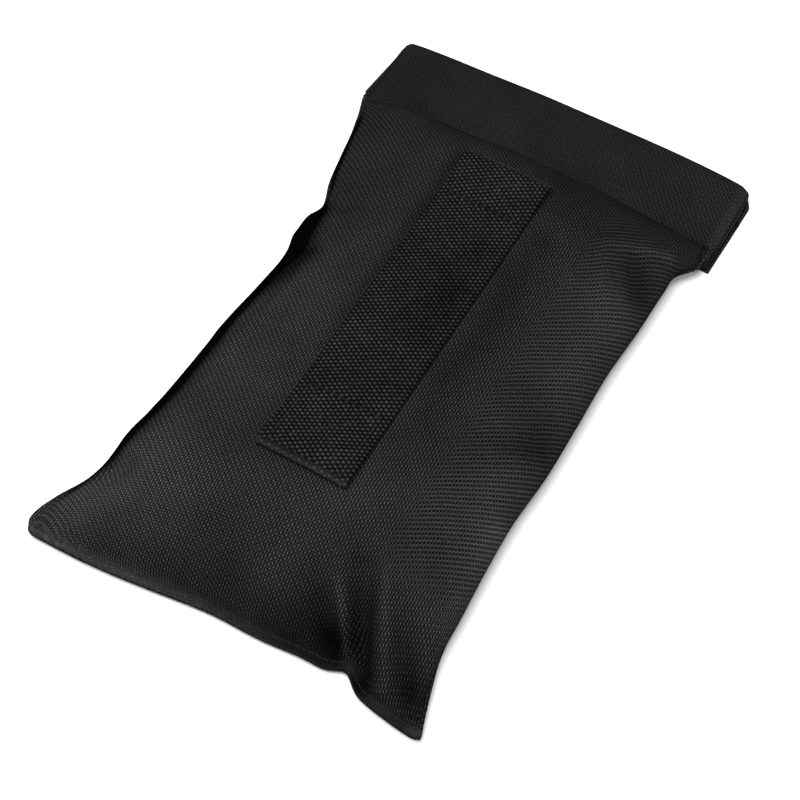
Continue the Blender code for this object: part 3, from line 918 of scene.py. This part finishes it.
def stitch_dent_shade(x, y):
    """1 along the outlines of the two box stitches, where thread presses the webbing flat: painted
    shade in the dents there.
    """
    lines = np.zeros_like(x)
    for node in ("lower_box_stitch", "upper_box_stitch"):
        low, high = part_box(node)
        outside_y = np.maximum(low.y - y, y - high.y)
        outside = np.maximum(np.abs(x) - BOX_HALF, outside_y)
        weight = np.where(outside_y > -0.001, 1.0, 0.3)
        lines += weight * hump(outside, 0.0, 0.0008)
    return lines


def strap_rubbed_and_shaded(x, y):
    """How pale the webbing's knots are: rubbed unevenly, darker towards its middle and in a patch
    right of it, with painted shade along its edges and along its stitching.
    """
    rubbed = 1 + 0.25 * unevenness(x, y, 0.012, 2.6) - 0.15 * hump(y, 0.0, 0.045)
    dark = hump(x, 0.008, 0.009) * hump(y, 0.012, 0.035)
    edge_shade = past(np.abs(x), STRAP_HALF - 0.0016, 0.0010)
    return rubbed - 0.30 * dark - 0.6 * stitch_dent_shade(x, y) - 0.3 * edge_shade


def strap_half(name, end_y, middle_y):
    side = 1.0 if end_y < middle_y else -1.0
    coarse = np.array(strap_path(end_y, middle_y, 160))
    length = lengths_along(coarse[:, :2])
    along = np.linspace(length[-1], 0.0, int(length[-1] / KNOT_LENGTH * RIB_STEPS))
    y, rise, turn = read_along(coarse, length, length[-1] - along).T
    across = np.linspace(-STRAP_HALF, STRAP_HALF, RIBS * RIB_STEPS + 1)
    x_grid, y_grid = np.meshgrid(across, y)
    shift = 0.0003 * x_grid / STRAP_HALF
    low, normal = over_belly(x_grid + shift, y_grid, np.broadcast_to(rise[:, None], x_grid.shape))
    forward = side * (np.array([0.0, 1.0, 0.0]) - normal * normal[..., 1:2])
    facing = normal * np.cos(turn)[:, None, None] - forward * np.sin(turn)[:, None, None]
    height, raised = rib_pattern(x_grid, np.broadcast_to(along[:, None], x_grid.shape))
    # the turned end: its knots pressed flatter, and a painted highlight on its fold
    at_end = hump(y_grid, end_y, 0.0022)
    height = height * (1 - 0.7 * at_end)
    raised = np.maximum(raised * strap_rubbed_and_shaded(x_grid, y_grid), 0.45 * at_end)
    outer = low + facing * height[..., None]
    inner_columns = np.linspace(STRAP_HALF, -STRAP_HALF, 9)
    pick = np.round(np.interp(inner_columns, across, np.arange(len(across)))).astype(int)
    inner = low[:, pick] - facing[:, pick] * WEB
    ring = np.concatenate([outer, inner], axis=1)
    rows, columns = ring.shape[:2]
    faces = grid_faces(rows, columns, around=True)
    faces += [list(range(columns))[::-1], list(range((rows - 1) * columns, rows * columns))]
    if side < 0:
        faces = [face[::-1] for face in faces]
    u = np.concatenate([across, inner_columns])
    uv = np.stack(np.meshgrid(u, along), -1).reshape(-1, 2)
    obj = dress(mesh_object(name, ring.reshape(-1, 3), faces, uv), WEBBING)
    for end in obj.data.polygons[-2:]:
        end.use_smooth = False
    mark(obj, "raised", np.concatenate([raised, np.full(inner.shape[:2], 0.2)], axis=1))
    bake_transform(obj)
    return obj


# ---- stitching ----
BOX_PITCH = 0.0027          # from one stitch to the next, in the box stitches
SEAM_PITCH = 0.0030         # in the other straight stitching
WHIP_PITCH = 0.0024         # and round the sides
THREAD = 0.00022            # the thread's radius
# along each stitch: places, and how high and how thick it is there
STITCH_STEPS = np.array([0.0, 0.12, 0.35, 0.65, 0.88, 1.0])
STITCH_RISE = np.array([-1.8, 0.1, 0.4, 0.4, 0.1, -1.8]) * THREAD
STITCH_TAPER = np.array([0.6, 0.95, 1.0, 1.0, 0.95, 0.6]) * THREAD


def stitched(name, line, normals, pitch):
    """Stitches laid end to end along a line on a surface."""
    length = lengths_along(line)
    count = max(int(length[-1] / pitch), 1)
    starts = np.arange(count) * length[-1] / count
    places = starts[:, None] + STITCH_STEPS * 0.86 * length[-1] / count
    paths = read_along(line, length, places)
    facing = read_along(normals, length, places)
    across = unit(np.cross(paths[:, -1] - paths[:, 0], facing[:, 2]))
    paths = paths + facing * STITCH_RISE[:, None]
    return tubes(name, paths, STITCH_TAPER, across)


def straight_stitches(lines, surface, count, pitch):
    """A piece for each ((x, y), (x, y)) line, on a surface that gives points and normals."""
    t = np.linspace(0, 1, count)
    pieces = []
    for (x0, y0), (x1, y1) in lines:
        line, normals = surface(x0 + (x1 - x0) * t, y0 + (y1 - y0) * t)
        pieces.append(stitched("stitch_line", line, normals, pitch))
    return pieces


def outline(left, right, near, far):
    """The four sides of a rectangle."""
    corners = [(left, near), (right, near), (right, far), (left, far)]
    return list(zip(corners, corners[1:] + corners[:1]))


def join(name, pieces):
    """Several pieces as one."""
    with bpy.context.temp_override(active_object=pieces[0], selected_editable_objects=pieces):
        bpy.ops.object.join()
    pieces[0].name = name
    pieces[0].data.name = name
    return pieces[0]


def sewn(obj, body, *nodes):
    dress(obj, THREAD_LOOK)
    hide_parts(*nodes)
    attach(obj, body)


def box_stitch(node, strap_end, strap_side):
    """A rectangle with a cross in it, sewn through the end of the handle."""
    low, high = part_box(node)
    lines = outline(-BOX_HALF, BOX_HALF, low.y, high.y)
    lines += [((-BOX_HALF, low.y), (BOX_HALF, high.y)), ((BOX_HALF, low.y), (-BOX_HALF, high.y))]

    def on_strap(x, y):
        return over_belly(x, y, strap_rise(y, strap_end, strap_side) + 0.6 * RIB_HEIGHT)

    pieces = straight_stitches(lines, on_strap, 60, BOX_PITCH)
    sewn(join(node + "es", pieces), "bag", node)


def bottom_stitches(front):
    """The top-stitching along the inner side of the bottom border."""
    row = len(BORDER_SHARES) - 1
    inner = slice(len(RIM_SHARES), -len(RIM_SHARES))
    normals = surface_normals(front)[row, inner]
    stitches = stitched("bottom_seam_stitches", front[row, inner], normals, SEAM_PITCH)
    sewn(stitches, "bag", "bottom_seam")


def side_stitches(front, column, node):
    """Thread whipped round the edge of a side, over both cloths."""
    side = -1 if column == 0 else 1
    edge = front[len(BORDER_SHARES):CREASE_ROW, column]
    length = lengths_along(edge)
    centre = read_along(edge, length, np.arange(0.001, length[-1], WHIP_PITCH))
    centre[:, 2] -= SEAM_GAP + CLOTH
    turn = np.linspace(-0.62 * math.pi, 0.62 * math.pi, 9)
    out = 0.0007 * (np.cos(turn) - 1) * side
    up = np.sin(turn) * (SEAM_GAP + CLOTH + 0.4 * THREAD)
    lean = np.linspace(-0.0006, 0.0006, 9)
    paths = centre[:, None] + np.stack([out, lean, up], -1)
    across = np.tile([0.0, 1.0, 0.0], (len(paths), 1))
    sewn(tubes(node + "_stitches", paths, 0.8 * THREAD, across, sides=5), "bag", node)


# ---- hook and loop tapes ----
TUFT_PITCH = 0.0018         # from one hook or loop to the next
TUFT_HEIGHT = 0.00055
TUFT_RADIUS = 0.00011
TAPE_BASE = 0.0005          # thickness of the woven tape
TAPE_MARGIN = 0.0016        # its bare edge
TAPE_INSET = 0.0008         # from its edge to its stitching


def tape_points(x, y, z, askew):
    """Points at one height over a tape, moved with the mouth where that is folded askew."""
    if askew:
        x, y = flap_place(x, y)
    return np.stack([x, y, np.full_like(x, z)], -1)


def tape(node, body, look, facing, askew, hooked):
    """A woven tape whose face, up or down, is covered in small hooks or loops."""
    low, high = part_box(node)
    back = low.z if facing > 0 else high.z
    x, y = np.meshgrid(np.linspace(low.x, high.x, 60), np.linspace(low.y, high.y, 12))
    points = tape_points(x, y, back + facing * TAPE_BASE, askew)
    base = sheet_object(node + "_base", points, 0, flip=facing < 0, thickness=TAPE_BASE)
    x, y = np.meshgrid(
        np.arange(low.x + TAPE_MARGIN, high.x - TAPE_MARGIN, TUFT_PITCH),
        np.arange(low.y + TAPE_MARGIN, high.y - TAPE_MARGIN, TUFT_PITCH),
    )
    x, y = x.ravel() + rng.uniform(-0.0003, 0.0003, x.size), y.ravel()
    turn = rng.uniform(-0.3, 0.3, x.size) if hooked else rng.uniform(0, math.pi, x.size)
    root = tape_points(x, y, back + facing * (TAPE_BASE - 0.0001), askew)
    t = np.linspace(0, 1, 5)
    if hooked:
        reach = 0.0005 * np.sin(0.85 * math.pi * t) ** 2 * t
        rise = TUFT_HEIGHT * np.sin(0.68 * math.pi * t)
    else:
        reach = 0.0011 * (t - 0.5)
        rise = TUFT_HEIGHT * np.sin(math.pi * t)
    lead = np.stack([np.cos(turn), np.sin(turn), 0 * turn], -1)
    up = np.array([0.0, 0.0, facing])
    paths = root[:, None] + lead[:, None] * reach[:, None] + up * rise[:, None]
    across = np.stack([-np.sin(turn), np.cos(turn), 0 * turn], -1)
    tufts = tubes(node + "_tufts", paths, TUFT_RADIUS, across, sides=3)
    with_thickness(base)
    obj = dress(join(node + "_woven", [base, tufts]), look)
    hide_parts(node)
    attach(obj, body)
    tape_stitches(node, body, facing, back, askew)


def with_thickness(obj):
    """Makes the sheet's thickness part of its mesh."""
    shown = obj.evaluated_get(bpy.context.evaluated_depsgraph_get())
    mesh = bpy.data.meshes.new_from_object(shown)
    obj.modifiers.clear()
    obj.data = mesh


def tape_stitches(node, body, facing, back, askew):
    """Stitching round a tape, along its edges."""
    low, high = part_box(node)
    lines = outline(
        low.x + TAPE_INSET, high.x - TAPE_INSET, low.y + TAPE_INSET, high.y - TAPE_INSET)

    def on_tape(x, y):
        normals = np.tile([0.0, 0.0, facing], (len(x), 1))
        return tape_points(x, y, back + facing * TAPE_BASE, askew), normals

    pieces = straight_stitches(lines, on_tape, 40, SEAM_PITCH)
    stitching = node.replace("_tape", "_stitching")
    sewn(join(stitching + "_lines", pieces), body, stitching)


def make_handle():
    middle = (GRIP_LOW_Y + GRIP_HIGH_Y) / 2
    low = strap_half("handle_lower_half", STRAP_LOW_Y, middle)
    high = strap_half("handle_upper_half", STRAP_HIGH_Y, middle)
    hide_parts("handle_strap_lower_end", "handle_strap_grip")
    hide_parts("handle_strap_upper_end")


# ---- surroundings ----
CAMERA_PLACE = (0.1997, -0.3524, 0.6199)
CAMERA_DOWN = 58.09         # degrees below level
CAMERA_ROUND = 30.07        # degrees from straight along +Y, to the left
CAMERA_LENS = 81.4
FLOOR_GREY = 0.86
SKY_STRENGTH = 0.12
LIGHTS = (    # name, place, target, width, length, power
    ("overhead", (-0.08, -0.25, 1.15), (0, 0, 0), 0.80, 0.80, 24),
    ("right", (1.1, 0.0, 0.6), (0, 0, 0.02), 0.5, 0.8, 7),
)


def stage_floor():
    bpy.ops.mesh.primitive_plane_add(size=6.0, location=(0, 0, -0.0002))
    floor = bpy.context.object
    floor.name = "floor"
    material, _, shader = new_material("floor", Roughness=0.9, Specular_IOR_Level=0.1)
    shader.inputs["Base Color"].default_value = (FLOOR_GREY, FLOOR_GREY, FLOOR_GREY, 1)
    floor.data.materials.append(material)


def area_light(name, place, target, width, length, power):
    data = bpy.data.lights.new(name, "AREA")
    data.shape = "RECTANGLE"
    data.size = width
    data.size_y = length
    data.energy = power
    light = bpy.data.objects.new(name, data)
    light.location = place
    light.rotation_euler = (Vector(target) - Vector(place)).to_track_quat("-Z", "Y").to_euler()
    bpy.context.scene.collection.objects.link(light)


def lighting():
    world = bpy.data.worlds.new("studio")
    world.use_nodes = True
    sky = world.node_tree.nodes["Background"]
    sky.inputs["Color"].default_value = (1, 1, 1, 1)
    sky.inputs["Strength"].default_value = SKY_STRENGTH
    bpy.context.scene.world = world
    for light in LIGHTS:
        area_light(*light)


def camera():
    data = bpy.data.cameras.new("camera")
    data.lens = CAMERA_LENS
    view = bpy.data.objects.new("camera", data)
    view.location = CAMERA_PLACE
    view.rotation_euler = (math.radians(90 - CAMERA_DOWN), 0, math.radians(CAMERA_ROUND))
    bpy.context.scene.collection.objects.link(view)
    bpy.context.scene.camera = view


front_points, front_uv = front_grid()
make_front(front_points, front_uv)
make_back(back_grid())
make_lip((front_points[-1, 0, 0] + front_points[-1, -1, 0]) / 2)
make_sand(front_points)
make_handle()
box_stitch("lower_box_stitch", STRAP_LOW_Y, 1.0)
box_stitch("upper_box_stitch", STRAP_HIGH_Y, -1.0)
bottom_stitches(front_points)
side_stitches(front_points, 0, "left_side_seam")
side_stitches(front_points, -1, "right_side_seam")
tape("closure_hook_tape", "bag", HOOK, -1, askew=False, hooked=True)
tape("closure_loop_tape", "flap", LOOP, 1, askew=True, hooked=False)
tape("mouth_loop_tape", "flap", LOOP, -1, askew=True, hooked=False)
tape("mouth_hook_tape", "lip", HOOK, 1, askew=True, hooked=True)
stage_floor()
lighting()
camera()
bpy.context.scene.view_settings.view_transform = "Standard"
